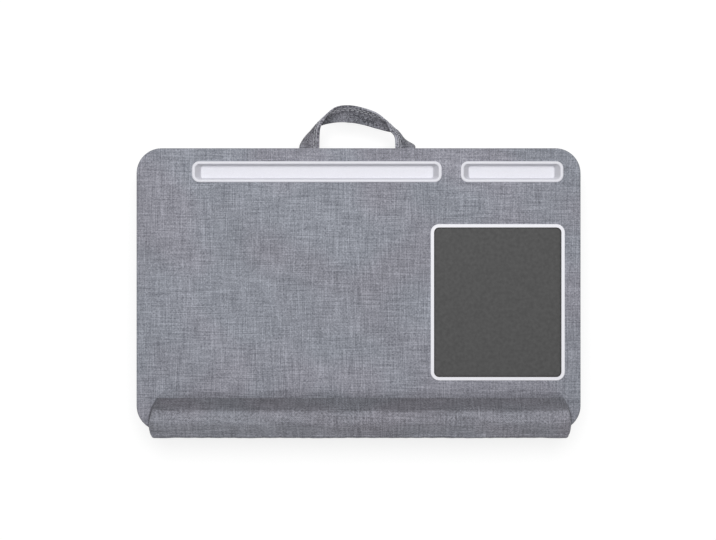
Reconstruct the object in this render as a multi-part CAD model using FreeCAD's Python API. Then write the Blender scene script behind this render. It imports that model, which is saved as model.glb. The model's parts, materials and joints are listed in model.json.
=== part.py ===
import FreeCAD, Part
import math
import os

# Lap tray with cushion.
# A fabric covered board has two slot trays along its rear edge, a framed mouse pad on the right,
# a padded wrist rest along the front edge and a carrying strap at the rear edge. A cushion of two
# bolsters and a thin middle is held under the board by hook and loop strips.
# Sizes are in millimetres and degrees. X runs to the right, Y to the rear and Z up.
# The origin lies under the middle of the whole tray, on the surface that the bolsters stand on.

Vector = FreeCAD.Vector

# Shared by all pieces
cut_overrun = 1.0
fit_clearance = 0.3
# A 45 degree chamfer changes by this share of the thickness of a skin that is laid over it
chamfer_skin_share = 2 - math.sqrt(2)

# Board: a stiff core wrapped in fabric, with a liner inside the turned hem
board_length = 550.0
board_depth = 350.0
board_corner_radius = 31.0
core_thickness = 9.0
core_edge_chamfer = 2.0
cover_thickness = 0.8
hem_width = 30.0

# Slot trays for a tablet and a phone, let into the board along its rear edge
phone_tray_length = 127.0
slot_width = 26.0
slot_corner_radius = 9.0
slot_rim_width = 3.4
slot_rim_height = 1.2
slot_rim_chamfer = 0.5
slot_wall = 1.4
slot_floor = 1.4
slot_end_slope = 7.0
slot_side_slope = 2.0
slot_rib_width = 1.2
slot_rib_pitch = 34.0
slot_rear_margin = 16.3
phone_tray_side_margin = 21.6
tablet_tray_side_margin = 68.9
tray_gap = 23.5

# Mouse pad: a frame with a skirt round a leather sheet on thin foam, in a pocket of the core
frame_length = 166.0
frame_depth = 193.5
frame_corner_radius = 10.6
frame_rim_width = 4.2
frame_rim_height = 1.2
frame_rim_chamfer = 0.5
frame_skirt = 1.8
frame_side_margin = 19.9
leather_thickness = 1.2
leather_recess = 1.5
pad_foam_thickness = 2.0
# The frame stands between the wrist rest and the slot trays, with this share of the free depth in front
frame_front_share = 0.29275

# Wrist rest: a padded bolster that hangs a little over the front edge
wrist_side_margin = 14.0
wrist_depth = 49.4
wrist_height = 20.0
wrist_overhang = 8.3
wrist_fabric = 1.4
wrist_base_thickness = 1.2
wrist_end_run = 16.0
wrist_rear_taper = 11.0
wrist_front_taper = 5.0
# Section from the rear foot over the crest to the front foot: share of the depth, share of the height
wrist_section_shares = (
    (0.0, 0.0),
    (0.09, 0.43),
    (0.20, 0.79),
    (0.31, 0.95),
    (0.43, 1.0),
    (0.58, 0.93),
    (0.74, 0.68),
    (0.88, 0.43),
    (0.98, 0.22),
    (1.0, 0.11),
    (0.965, 0.0),
)
# Rounding of each end: share of the end run, share of both tapers, share of the height
wrist_end_shares = (
    (0.0, 1.0, 0.34),
    (0.18, 0.62, 0.64),
    (0.50, 0.26, 0.88),
    (1.0, 0.0, 1.0),
)

# Carrying strap: two legs come out under the rear edge, and the strap rolls over at the top of each leg
strap_width = 25.0
strap_thickness = 2.4
strap_leg_spacing = 119.0
strap_leg_flat = 4.0
strap_reach = 51.4
strap_hinge_setback = 2.0
strap_tab_length = 27.0
# Way of the strap's upper edge from the left leg to the right leg: share of half the gap between the legs,
# share of the reach past the flat leg, heading in degrees from the rear, degrees that the strap has rolled
# over, and how far its section bulges as a share of its width
strap_way_shares = (
    (-1.0, 0.0, 0, 0, 0.0),
    (-1.0, 0.07, 0, 18, 0.05),
    (-1.0, 0.145, 0, 36, 0.10),
    (-1.0, 0.30, 0, 62, 0.16),
    (-0.985, 0.46, 8, 80, 0.20),
    (-0.91, 0.63, 30, 96, 0.22),
    (-0.76, 0.805, 46, 112, 0.20),
    (-0.55, 0.945, 60, 128, 0.15),
    (-0.34, 1.0, 82, 138, 0.09),
    (-0.10, 0.985, 98, 142, 0.07),
    (0.20, 0.895, 108, 140, 0.07),
    (0.46, 0.76, 116, 132, 0.10),
    (0.69, 0.58, 132, 116, 0.16),
    (0.84, 0.405, 146, 100, 0.20),
    (0.95, 0.24, 158, 80, 0.20),
    (0.995, 0.11, 174, 50, 0.12),
    (1.0, 0.04, 180, 16, 0.04),
    (1.0, 0.0, 180, 0, 0.0),
)
# Length of a shallow arc over its chord: one, plus this share of the square of the bulge
arc_length_share = 8 / 3
strap_bend_steps = 4

# Staples through the strap ends into the core
staple_crown = 11.0
staple_wire_width = 1.0
staple_wire_height = 0.6
staple_leg = 8.0
staple_rows = 2
staple_pitch = 6.5
staple_rear_margin = 6.5
staple_clearance = 0.2

# Hook and loop strips
fastener_length = 100.0
fastener_width = 25.0
fastener_pitch = 190.0

# Cushion: two bolsters from front to rear, a thin middle and one top panel
bolster_length = 290.0
bolster_width = 165.0
bolster_height = 47.0
bolster_spacing = 330.0
bolster_fabric = 1.5
bolster_flat_cut = 0.5
top_panel_thickness = 1.0
top_panel_corner_radius = 34.0
seam_allowance = 4.0
centre_depth = 270.0
centre_height = 11.0
centre_fabric = 1.2
centre_corner_radius = 10.0
centre_edge_chamfer = 3.0
# Section of a bolster: round sides that draw in to the seam at the top, and a crowned underside
bolster_crown = 4.5
bolster_seam_angle = 58
bolster_side_steps = 6
bolster_foot_steps = 4
# Half of a bolster's length: share of the half length, of the width and of the side's radius
bolster_end_shares = (
    (0.0, 0.975, 1.0),
    (0.70, 1.0, 0.975),
    (0.86, 0.985, 0.87),
    (0.95, 0.90, 0.64),
    (1.0, 0.74, 0.36),
)

# Heights of the layers, from the surface that the tray stands on
panel_top = bolster_height + top_panel_thickness
fastener_layer = (strap_thickness + staple_wire_height + staple_clearance) / 2
board_bottom = panel_top + 2 * fastener_layer
core_bottom = board_bottom + cover_thickness
core_top = core_bottom + core_thickness
board_top = core_top + cover_thickness

# Places of the pieces, from the middle of the board
board_rear = board_depth / 2
board_edge_chamfer = core_edge_chamfer + cover_thickness * chamfer_skin_share
slot_front = board_rear - slot_rear_margin - slot_width
slot_y = slot_front + slot_width / 2
phone_tray_left = board_length / 2 - phone_tray_side_margin - phone_tray_length
phone_tray_x = phone_tray_left + phone_tray_length / 2
tablet_tray_right = phone_tray_left - tray_gap
tablet_tray_length = tablet_tray_right + board_length / 2 - tablet_tray_side_margin
tablet_tray_x = tablet_tray_right - tablet_tray_length / 2
wrist_length = board_length - 2 * wrist_side_margin
wrist_front = -board_rear - wrist_overhang
wrist_rear = wrist_front + wrist_depth
frame_x = board_length / 2 - frame_side_margin - frame_length / 2
frame_front = wrist_rear + frame_front_share * (slot_front - wrist_rear - frame_depth)
frame_y = frame_front + frame_depth / 2
frame_opening_length = frame_length - 2 * frame_rim_width
frame_opening_depth = frame_depth - 2 * frame_rim_width
frame_opening_radius = frame_corner_radius - frame_rim_width
leather_top = board_top + frame_rim_height - leather_recess
pocket_floor = leather_top - leather_thickness - pad_foam_thickness
hinge_y = board_rear + strap_hinge_setback
hinge_z = board_bottom - strap_thickness / 2
bolster_x = bolster_spacing / 2


def rounded_outline(length, depth, radius, z):
    """Closed wire of a rectangle with round corners, centred on the Z axis."""
    run_x = length / 2 - radius
    run_y = depth / 2 - radius
    centres = ((run_x, run_y), (-run_x, run_y), (-run_x, -run_y), (run_x, -run_y))
    arcs = []
    for quarter, (x, y) in enumerate(centres):
        start = quarter * 90
        arcs.append(Part.makeCircle(radius, Vector(x, y, z), Vector(0, 0, 1), start, start + 90))
    edges = []
    for arc, following in zip(arcs, arcs[1:] + arcs[:1]):
        edges.append(arc)
        edges.append(Part.makeLine(arc.Vertexes[-1].Point, following.Vertexes[0].Point))
    return Part.Wire(edges)


def plate(length, depth, radius, bottom, top):
    """Flat plate with round corners, centred on the Z axis."""
    face = Part.Face(rounded_outline(length, depth, radius, bottom))
    return face.extrude(Vector(0, 0, top - bottom))


def sloped_plate(length, depth, radius, bottom, top):
    """Plate with round corners whose ends and sides slope in towards the bottom."""
    ends = []
    sides = []
    for up, end_slope, side_slope in ((bottom, slot_end_slope, slot_side_slope), (top, 0, 0)):
        x = length / 2 - end_slope
        y = depth / 2 - side_slope
        ends += [Vector(-x, -depth / 2, up), Vector(x, -depth / 2, up)]
        sides += [Vector(-length / 2, -y, up), Vector(-length / 2, y, up)]
    across = trapezium(ends).extrude(Vector(0, depth, 0))
    along = trapezium(sides).extrude(Vector(length, 0, 0))
    return plate(length, depth, radius, bottom, top).common(across).common(along)


def trapezium(corners):
    """Upright face from its two lower corners and its two upper ones."""
    lower_first, lower_last, upper_first, upper_last = corners
    return Part.Face(Part.makePolygon([lower_first, lower_last, upper_last, upper_first, lower_first]))


def chamfer_edges_at(solid, z, size):
    """Chamfer all edges of the solid that lie at one height."""
    level = [edge for edge in solid.Edges if all(math.isclose(v.Z, z) for v in edge.Vertexes)]
    return solid.makeChamfer(size, level)


def moved(solid, x, y):
    """Copy of a solid at another place on the board."""
    return solid.translated(Vector(x, y, 0))


def wrapped_plate(wrap):
    """Plate of the board with chamfered upper and lower edges, grown by a wrap on every side."""
    inset = cover_thickness - wrap
    chamfer = core_edge_chamfer + wrap * chamfer_skin_share
    solid = plate(
        board_length - 2 * inset,
        board_depth - 2 * inset,
        board_corner_radius - inset,
        core_bottom - wrap,
        core_top + wrap,
    )
    solid = chamfer_edges_at(solid, core_top + wrap, chamfer)
    return chamfer_edges_at(solid, core_bottom - wrap, chamfer)


def slot_opening(tray_length):
    """Length, width and corner radius of the mouth of a slot tray."""
    return (
        tray_length - 2 * slot_rim_width,
        slot_width - 2 * slot_rim_width,
        slot_corner_radius - slot_rim_width,
    )


def grown(size, amount):
    """Rounded rectangle grown by an amount on every side."""
    length, depth, radius = size
    return (length + 2 * amount, depth + 2 * amount, radius + amount)


def slot_cutout(tray_length):
    """Through cut in the board that a slot tray drops into."""
    size = grown(slot_opening(tray_length), slot_wall + fit_clearance)
    return plate(*size, board_bottom + cover_thickness, board_top + cut_overrun)


def slot_tray(tray_length):
    """Slot tray: a rim on the fabric, a well with sloped ends and sides, and ribs that centre it."""
    rim_top = board_top + slot_rim_height
    well_bottom = core_bottom + fit_clearance
    floor_top = well_bottom + slot_floor
    mouth = slot_opening(tray_length)
    rim = plate(tray_length, slot_width, slot_corner_radius, board_top, rim_top)
    rim = chamfer_edges_at(rim, rim_top, slot_rim_chamfer)
    well = sloped_plate(*grown(mouth, slot_wall), well_bottom, board_top)
    rib_depth = mouth[1] + 2 * slot_wall
    rib_count = int((mouth[0] - 2 * slot_end_slope) / slot_rib_pitch)
    ribs = []
    for index in range(rib_count):
        x = (index - (rib_count - 1) / 2) * slot_rib_pitch
        corner = Vector(x - slot_rib_width / 2, -rib_depth / 2, well_bottom)
        ribs.append(Part.makeBox(slot_rib_width, rib_depth, board_top - well_bottom, corner))
    hollow = sloped_plate(*mouth, floor_top, rim_top)
    return rim.fuse([well] + ribs).cut(hollow).removeSplitter()


def pad_pocket():
    """Pocket in the board for the skirt of the frame, the foam and the leather."""
    opening = (frame_opening_length, frame_opening_depth, frame_opening_radius)
    size = grown(opening, frame_skirt + fit_clearance)
    return moved(plate(*size, pocket_floor, board_top + cut_overrun), frame_x, frame_y)


def mouse_pad_frame():
    """Frame of the mouse pad: a rim on the fabric and a skirt down to the pocket's floor."""
    rim_top = board_top + frame_rim_height
    opening = (frame_opening_length, frame_opening_depth, frame_opening_radius)
    rim = plate(frame_length, frame_depth, frame_corner_radius, board_top, rim_top)
    rim = chamfer_edges_at(rim, rim_top, frame_rim_chamfer)
    skirt = plate(*grown(opening, frame_skirt), pocket_floor, board_top)
    hole = plate(*opening, pocket_floor - cut_overrun, rim_top + cut_overrun)
    return moved(rim.fuse(skirt).cut(hole).removeSplitter(), frame_x, frame_y)


def pad_layer(bottom, thickness):
    """Sheet that fills the opening of the frame."""
    opening = (frame_opening_length, frame_opening_depth, frame_opening_radius)
    return moved(plate(*grown(opening, -fit_clearance), bottom, bottom + thickness), frame_x, frame_y)


def wrist_section(x, rear, front, bottom, height):
    """Section of the wrist rest at one place along it."""
    points = []
    for along_share, up_share in wrist_section_shares:
        points.append(Vector(x, rear + (front - rear) * along_share, bottom + height * up_share))
    edges = []
    for index in range(0, len(points) - 2, 2):
        edges.append(Part.Arc(*points[index : index + 3]).toShape())
    edges.append(Part.makeLine(points[-1], points[0]))
    return Part.Wire(edges)


def wrist_form(inset, bottom):
    """Form of the wrist rest, drawn in by an inset on every side, from a flat bottom up."""
    height = board_top + wrist_height - inset - bottom
    half_sections = []
    for run_share, taper_share, height_share in wrist_end_shares:
        x = wrist_length / 2 - inset - wrist_end_run * run_share
        rear = wrist_rear - inset - wrist_rear_taper * taper_share
        front = wrist_front + inset + wrist_front_taper * taper_share
        half_sections.append((x, rear, front, bottom, height * height_share))
    sections = [wrist_section(-x, *rest) for x, *rest in half_sections]
    sections += [wrist_section(x, *rest) for x, *rest in reversed(half_sections)]
    return Part.makeLoft(sections, True, True)


def wrist_base_plate(margin, bottom, top):
    """Flat strip under the wrist rest, on the flat part of the board, grown by a margin."""
    rear = wrist_rear - 2 * wrist_fabric
    front = -board_rear + board_edge_chamfer
    length = wrist_length - 2 * wrist_end_run - 2 * wrist_fabric
    corner = Vector(-length / 2 - margin, front - margin, bottom)
    return Part.makeBox(length + 2 * margin, rear - front + 2 * margin, top - bottom, corner)


def wrist_rest_cover():
    """Fabric of the wrist rest, open below where the backing strip closes it."""
    inside = wrist_form(wrist_fabric, board_top + wrist_base_thickness)
    window = wrist_base_plate(fit_clearance, board_top - cut_overrun, board_top + wrist_base_thickness)
    return wrist_form(0, board_top).cut(inside.fuse(window))


def strap_section(x_share, y_share, heading, turn, bulge_share):
    """Section of the strap, square to its run: flat, or bent in steps where the strap rolls over."""
    heading = math.radians(heading)
    turn = math.radians(turn)
    x = x_share * (strap_leg_spacing - strap_width) / 2
    y = hinge_y + strap_leg_flat + y_share * (strap_reach - strap_leg_flat)
    upper_edge = Vector(x, y, hinge_z)
    run = Vector(math.sin(heading), math.cos(heading), 0)
    side = run.cross(Vector(0, 0, 1))
    across = side * math.cos(turn) + Vector(0, 0, math.sin(turn))
    outward = across.cross(run)
    chord = strap_width / (1 + arc_length_share * bulge_share**2)
    half_thickness = outward * (strap_thickness / 2)
    lower_edge = upper_edge - across * chord
    middle = (upper_edge + lower_edge) / 2 + outward * (bulge_share * chord)
    inner = [place - half_thickness for place in (upper_edge, middle, lower_edge)]
    outer = [place + half_thickness for place in (lower_edge, middle, upper_edge)]
    points = []
    for first, between, last in (inner, outer):
        bend = Part.Arc(first, between, last) if bulge_share else Part.LineSegment(first, last)
        points += bend.toShape().discretize(strap_bend_steps + 1)
    return Part.makePolygon(points + points[:1])


def leg_places():
    """Middle of each leg of the strap along X."""
    return (-strap_leg_spacing / 2, strap_leg_spacing / 2)


def strap_leg(x):
    """Flat start of a leg, rounded along the line where the strap folds up and down."""
    left = x - strap_width / 2
    half = strap_thickness / 2
    lower = Vector(left, hinge_y, hinge_z - half)
    upper = Vector(left, hinge_y, hinge_z + half)
    along = Vector(0, strap_leg_flat, 0)
    bend = Part.Arc(upper, Vector(left, hinge_y - half, hinge_z), lower).toShape()
    sides = [
        Part.makeLine(lower, lower + along),
        Part.makeLine(lower + along, upper + along),
        Part.makeLine(upper + along, upper),
    ]
    return Part.Face(Part.Wire([bend] + sides)).extrude(Vector(strap_width, 0, 0))


def handle_strap():
    """Free loop of the strap with both of its legs."""
    loop = Part.makeLoft([strap_section(*row) for row in strap_way_shares], True, True)
    return loop.fuse([strap_leg(x) for x in leg_places()])


def strap_tabs():
    """The two strap ends under the board, which stop short of the bend."""
    rear = hinge_y - strap_thickness / 2 - fit_clearance
    tabs = []
    for x in leg_places():
        corner = Vector(x - strap_width / 2, rear - strap_tab_length, board_bottom - strap_thickness)
        tabs.append(Part.makeBox(strap_width, strap_tab_length, strap_thickness, corner))
    return Part.makeCompound(tabs)


def staple():
    """Staple with its crown under the strap and two legs up into the core."""
    crown_bottom = board_bottom - strap_thickness - staple_wire_height
    left = -staple_crown / 2
    front = -staple_wire_width / 2
    crown = Part.makeBox(staple_crown, staple_wire_width, staple_wire_height, Vector(left, front, crown_bottom))
    legs = []
    for x in (left, -left - staple_wire_height):
        corner = Vector(x, front, crown_bottom)
        legs.append(Part.makeBox(staple_wire_height, staple_wire_width, staple_leg, corner))
    return crown.fuse(legs).removeSplitter()


def strap_staples():
    """Rows of staples in both strap ends."""
    staples = []
    for x in leg_places():
        for row in range(staple_rows):
            y = board_rear - staple_rear_margin - row * staple_pitch
            staples.append(moved(staple(), x, y))
    return Part.makeCompound(staples)


def fastener_strips(bottom):
    """Four strips of one half of the hook and loop fastening, over the bolsters."""
    strips = []
    for x in (-bolster_x, bolster_x):
        for y in (-fastener_pitch / 2, fastener_pitch / 2):
            corner = Vector(x - fastener_length / 2, y - fastener_width / 2, bottom)
            strips.append(Part.makeBox(fastener_length, fastener_width, fastener_layer, corner))
    return Part.makeCompound(strips)


def bolster_side_radius(height):
    """Radius of a bolster's sides, from its height and the angle at which they meet the seam."""
    return (height - bolster_crown) / (1 + math.sin(math.radians(bolster_seam_angle)))


def bolster_section(y, half_width, height, scale, top):
    """Section of a bolster: flat top, round sides that draw in to it and a crowned underside."""
    seam_angle = math.radians(bolster_seam_angle)
    full_radius = bolster_side_radius(height)
    foot_angle = 2 * math.atan(bolster_crown / (bolster_width / 2 - full_radius))
    radius = full_radius * scale
    core = half_width - radius
    side_z = top - radius * math.sin(seam_angle)
    foot_radius = radius + core / math.sin(foot_angle)
    foot_z = side_z + core / math.tan(foot_angle)
    turn = seam_angle + math.pi / 2 - foot_angle
    right = []
    for step in range(bolster_side_steps + 1):
        angle = seam_angle - turn * step / bolster_side_steps
        right.append((core + radius * math.cos(angle), side_z + radius * math.sin(angle)))
    foot = []
    for step in range(1, bolster_foot_steps):
        angle = foot_angle * (1 - 2 * step / bolster_foot_steps)
        foot.append((foot_radius * math.sin(angle), foot_z - foot_radius * math.cos(angle)))
    left = [(-x, z) for x, z in reversed(right)]
    points = [Vector(x, y, z) for x, z in right + foot + left]
    return Part.makePolygon(points + points[:1])


def bolster_form(inset, top):
    """Form of a bolster, drawn in by an inset on every side, up to a flat top."""
    lowest = inset - bolster_flat_cut
    half_length = bolster_length / 2 - inset
    half_sections = []
    for length_share, width_share, radius_share in bolster_end_shares:
        half_width = bolster_width / 2 * width_share - inset
        half_sections.append((half_length * length_share, half_width, top - lowest, radius_share, top))
    sections = [bolster_section(-y, *rest) for y, *rest in reversed(half_sections[1:])]
    sections += [bolster_section(y, *rest) for y, *rest in half_sections]
    loft = Part.makeLoft(sections, True, True)
    return flat_faced(loft)


def flat_faced(loft):
    """The same solid with true planes for its flat faces."""
    faces = []
    for face in loft.Faces:
        corners = [vertex.Point for vertex in face.OuterWire.OrderedVertexes]
        faces.append(Part.Face(Part.makePolygon(corners + corners[:1])))
    return Part.Solid(Part.Shell(faces))


def bolster_slab(bottom, top):
    """Slab as wide and long as a bolster's surroundings, to trim it with."""
    corner = Vector(-bolster_width, -bolster_length, bottom)
    return Part.makeBox(2 * bolster_width, 2 * bolster_length, top - bottom, corner)


def bolster_cover():
    """Fabric of a bolster, open at the top panel and flat where it rests."""
    inside = bolster_form(bolster_fabric, bolster_height + cut_overrun)
    shell = bolster_form(0, bolster_height).cut(inside)
    return shell.cut(bolster_slab(-bolster_flat_cut - cut_overrun, 0))


def bolster_fill():
    """Filling of a bolster, clear of its fabric and of the top panel."""
    top = bolster_height + cut_overrun
    fill = bolster_form(bolster_fabric + fit_clearance, top)
    return fill.cut(bolster_slab(bolster_height - fit_clearance, top + cut_overrun))


def centre_size():
    """Outline of the thin middle between the bolsters."""
    length = bolster_spacing - bolster_width - 2 * fit_clearance
    return (length, centre_depth, centre_corner_radius)


def centre_panel():
    """Fabric of the thin middle, open at the top panel."""
    bottom = bolster_height - centre_height
    outside = chamfer_edges_at(plate(*centre_size(), bottom, bolster_height), bottom, centre_edge_chamfer)
    inside = centre_block(centre_fabric, bolster_height + cut_overrun)
    return outside.cut(inside)


def centre_block(inset, top):
    """Block inside the fabric of the thin middle."""
    bottom = bolster_height - centre_height + inset
    block = plate(*grown(centre_size(), -inset), bottom, top)
    return chamfer_edges_at(block, bottom, centre_edge_chamfer - inset * chamfer_skin_share)


def cushion_top_panel():
    """Top sheet of the cushion, which both bolsters and the middle are sewn to."""
    drawn_in = bolster_side_radius(bolster_height) * (1 - math.cos(math.radians(bolster_seam_angle)))
    length = bolster_spacing + bolster_width - 2 * drawn_in + 2 * seam_allowance
    depth = bolster_length + 2 * seam_allowance
    return plate(length, depth, top_panel_corner_radius, bolster_height, panel_top)


def build_nodes():
    """All pieces, with X and Y from the middle of the board."""
    phone_cutout = moved(slot_cutout(phone_tray_length), phone_tray_x, slot_y)
    tablet_cutout = moved(slot_cutout(tablet_tray_length), tablet_tray_x, slot_y)
    staples = strap_staples()
    tabs = strap_tabs()
    window_size = (
        board_length - 2 * hem_width,
        board_depth - 2 * hem_width,
        board_corner_radius,
    )
    window = plate(*window_size, board_bottom - cut_overrun, core_bottom)
    liner = plate(*grown(window_size, -fit_clearance), board_bottom, core_bottom)
    whole_core = wrapped_plate(0)
    openings = [phone_cutout, tablet_cutout, pad_pocket()]
    cover = wrapped_plate(cover_thickness).cut([whole_core, window] + openings)
    return {
        "board_core": whole_core.cut(openings + [staples]),
        "board_cover": cover.cut(staples),
        "underside_liner": liner.cut(staples),
        "tablet_tray": moved(slot_tray(tablet_tray_length), tablet_tray_x, slot_y),
        "phone_tray": moved(slot_tray(phone_tray_length), phone_tray_x, slot_y),
        "mouse_pad_frame": mouse_pad_frame(),
        "mouse_pad_foam": pad_layer(pocket_floor, pad_foam_thickness),
        "mouse_pad_leather": pad_layer(leather_top - leather_thickness, leather_thickness),
        "wrist_rest_cover": wrist_rest_cover(),
        "wrist_rest_foam": wrist_form(wrist_fabric + fit_clearance, board_top + wrist_base_thickness),
        "wrist_rest_base": wrist_base_plate(0, board_top, board_top + wrist_base_thickness),
        "handle_strap": handle_strap(),
        "handle_tabs": tabs.cut(staples),
        "handle_staples": staples,
        "hook_strips": fastener_strips(panel_top + fastener_layer),
        "loop_strips": fastener_strips(panel_top),
        "cushion_top_panel": cushion_top_panel(),
        "left_bolster_cover": moved(bolster_cover(), -bolster_x, 0),
        "right_bolster_cover": moved(bolster_cover(), bolster_x, 0),
        "left_bolster_fill": moved(bolster_fill(), -bolster_x, 0),
        "right_bolster_fill": moved(bolster_fill(), bolster_x, 0),
        "centre_panel": centre_panel(),
        "centre_foam": centre_block(centre_fabric + fit_clearance, bolster_height - fit_clearance),
    }


nodes = build_nodes()
rear_reach = nodes["handle_strap"].optimalBoundingBox(False).YMax
front_reach = nodes["wrist_rest_cover"].optimalBoundingBox(False).YMin
board_middle_y = -(rear_reach + front_reach) / 2
os.makedirs("parts", exist_ok=True)
for name, shape in nodes.items():
    placed = moved(shape, 0, board_middle_y)
    placed.exportStep("parts/" + name + ".step")
    print(name, len(placed.Solids), "solids", round(placed.Volume), "cubic mm")
print("middle of the board at y", board_middle_y, "hinge at y", hinge_y + board_middle_y, "z", hinge_z)
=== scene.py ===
import bmesh
import bpy
import json
import math
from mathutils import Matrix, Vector, noise


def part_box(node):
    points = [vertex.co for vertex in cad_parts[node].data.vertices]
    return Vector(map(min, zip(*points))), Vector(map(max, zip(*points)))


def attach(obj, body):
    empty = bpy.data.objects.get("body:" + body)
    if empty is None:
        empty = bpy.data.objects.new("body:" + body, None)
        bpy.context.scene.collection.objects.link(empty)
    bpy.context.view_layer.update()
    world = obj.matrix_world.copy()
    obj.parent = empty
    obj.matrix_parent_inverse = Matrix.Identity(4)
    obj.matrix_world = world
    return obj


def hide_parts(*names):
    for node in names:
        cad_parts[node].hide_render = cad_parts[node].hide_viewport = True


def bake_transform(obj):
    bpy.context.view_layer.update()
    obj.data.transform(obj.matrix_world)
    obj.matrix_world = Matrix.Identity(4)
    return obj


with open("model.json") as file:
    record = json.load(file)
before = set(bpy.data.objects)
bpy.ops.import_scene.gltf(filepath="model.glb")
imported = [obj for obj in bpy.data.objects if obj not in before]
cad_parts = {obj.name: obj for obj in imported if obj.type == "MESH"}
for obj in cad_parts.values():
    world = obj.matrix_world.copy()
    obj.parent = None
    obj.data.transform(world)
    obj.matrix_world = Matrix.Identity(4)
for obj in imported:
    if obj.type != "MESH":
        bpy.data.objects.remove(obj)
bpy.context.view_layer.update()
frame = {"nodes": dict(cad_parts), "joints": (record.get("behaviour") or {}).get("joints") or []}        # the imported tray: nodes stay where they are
nodes = frame["nodes"]
print("frame loaded:", len(nodes), "nodes")

boardLow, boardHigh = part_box("board_cover")
boardMid = (boardLow + boardHigh) / 2
boardTop = boardHigh.z
boardBottom = boardLow.z
mm = 0.001
nodeMerge = 0.02 * mm    # corners of a CAD node that are one
seamMerge = 0.0001 * mm
levelFace = 0.7          # a face lies level when its normal's z is past this, up or down


# small helpers, used by every piece

def freshStart():
    if bpy.context.object and bpy.context.object.mode != "OBJECT":
        bpy.ops.object.mode_set(mode="OBJECT")
    bpy.ops.object.select_all(action="DESELECT")


def takeUp(piece):
    freshStart()
    piece.select_set(True)
    bpy.context.view_layer.objects.active = piece


def settle(piece):
    takeUp(piece)
    bpy.ops.object.transform_apply(location=True, rotation=True, scale=True)


def applyAll(piece):
    takeUp(piece)
    for modifier in list(piece.modifiers):
        bpy.ops.object.modifier_apply(modifier=modifier.name)


def named(name):
    piece = bpy.context.object
    piece.name = name
    piece.data.name = name
    return piece


def pick(piece, kind, test):     # select by place or normal, in edit mode
    bpy.ops.mesh.select_all(action="DESELECT")
    bpy.ops.mesh.select_mode(type={"verts": "VERT", "edges": "EDGE", "faces": "FACE"}[kind])
    cage = bmesh.from_edit_mesh(piece.data)
    for bit in getattr(cage, kind):
        bit.select_set(bool(test(bit)))
    cage.select_flush_mode()
    bmesh.update_edit_mesh(piece.data)


def editAll():                   # into edit mode, with everything selected
    bpy.ops.object.mode_set(mode="EDIT")
    bpy.ops.mesh.select_all(action="SELECT")


def editDone():
    bpy.ops.object.mode_set(mode="OBJECT")


def faceOutward():               # the last step of an edit
    bpy.ops.mesh.select_all(action="SELECT")
    bpy.ops.mesh.normals_make_consistent(inside=False)
    editDone()


def copyPiece(source, name):     # the same piece again, with its own mesh
    freshStart()
    piece = source.copy()
    piece.data = source.data.copy()
    piece.name = name
    bpy.context.scene.collection.objects.link(piece)
    return piece


def copyNode(node, name):        # a merged copy of a CAD node to start from
    piece = copyPiece(nodes[node], name)
    piece.data.name = name
    piece.parent = None
    for key in list(piece.keys()):
        del piece[key]
    piece.hide_render = False
    piece.hide_viewport = False
    piece.data.materials.clear()
    takeUp(piece)
    editAll()
    bpy.ops.mesh.remove_doubles(threshold=nodeMerge)
    editDone()
    return piece


def joinCopies(first, places, move):   # one small shape, copied to every place and joined
    shape = [vertex.co.copy() for vertex in first.data.vertices]
    copies = [first] + [copyPiece(first, first.name) for place in places[1:]]
    for copy, place in zip(copies, places):
        for vertex, spot in zip(copy.data.vertices, shape):
            vertex.co = move(spot, place)
    for copy in copies:
        copy.select_set(True)
    bpy.context.view_layer.objects.active = first
    bpy.ops.object.join()
    editAll()
    faceOutward()
    settle(first)


def roundedSheet(name, low, high, corner, steps, z):
    freshStart()
    middle = Vector(((low.x + high.x) / 2, (low.y + high.y) / 2, z))
    inner = Vector(((high.x - low.x) / 2 - corner, (high.y - low.y) / 2 - corner, 0))
    bpy.ops.mesh.primitive_plane_add(size=1, location=middle)
    piece = named(name)
    piece.scale = (high.x - low.x, high.y - low.y, 1)
    settle(piece)
    editAll()
    bpy.ops.mesh.bevel(offset=corner, segments=steps, affect="VERTICES")
    editDone()
    for vertex in piece.data.vertices:             # the bevel is flatter than a round corner
        turn = Vector((middle.x + math.copysign(inner.x, vertex.co.x - middle.x),
                       middle.y + math.copysign(inner.y, vertex.co.y - middle.y), z))
        vertex.co = turn + (vertex.co - turn).normalized() * corner
    return piece


def roundedBlock(name, low, high, corner, steps):
    piece = roundedSheet(name, low, high, corner, steps, low.z)
    editAll()
    rise = (0, 0, high.z - low.z)
    bpy.ops.mesh.extrude_region_move(TRANSFORM_OT_translate={"value": rise})
    faceOutward()
    return piece


def sweepRings(name, rings):     # a grid with a row for each ring, rolled up and closed at both ends
    freshStart()
    count = len(rings[0])
    bpy.ops.mesh.primitive_grid_add(x_subdivisions=count, y_subdivisions=len(rings) - 1)
    piece = named(name)
    for vertex in piece.data.vertices:
        row, place = divmod(vertex.index, count + 1)
        vertex.co = rings[row][place % count]
    editAll()
    bpy.ops.mesh.remove_doubles(threshold=seamMerge)
    bpy.ops.mesh.fill_holes(sides=0)
    faceOutward()
    settle(piece)
    return piece


def between(rows, share):        # straight between the rows of a table whose first column rises
    for first, last in zip(rows, rows[1:]):
        if share <= last[0]:
            part = (share - first[0]) / (last[0] - first[0])
            return [one + (two - one) * part for one, two in zip(first[1:], last[1:])]
    return rows[-1][1:]


def cutAway(piece, cutter):
    cut = piece.modifiers.new("cut", "BOOLEAN")
    cut.operation = "DIFFERENCE"
    cut.object = cutter
    cut.solver = "EXACT"
    applyAll(piece)
    bpy.data.objects.remove(cutter)


def layWeave(piece, unfold):     # own UV map, in metres along the cloth
    layer = piece.data.uv_layers.new(name="weave")
    for face in piece.data.polygons:
        for corner in face.loop_indices:
            spot = piece.data.vertices[piece.data.loops[corner].vertex_index].co
            layer.data[corner].uv = unfold(spot, face.normal)


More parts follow.
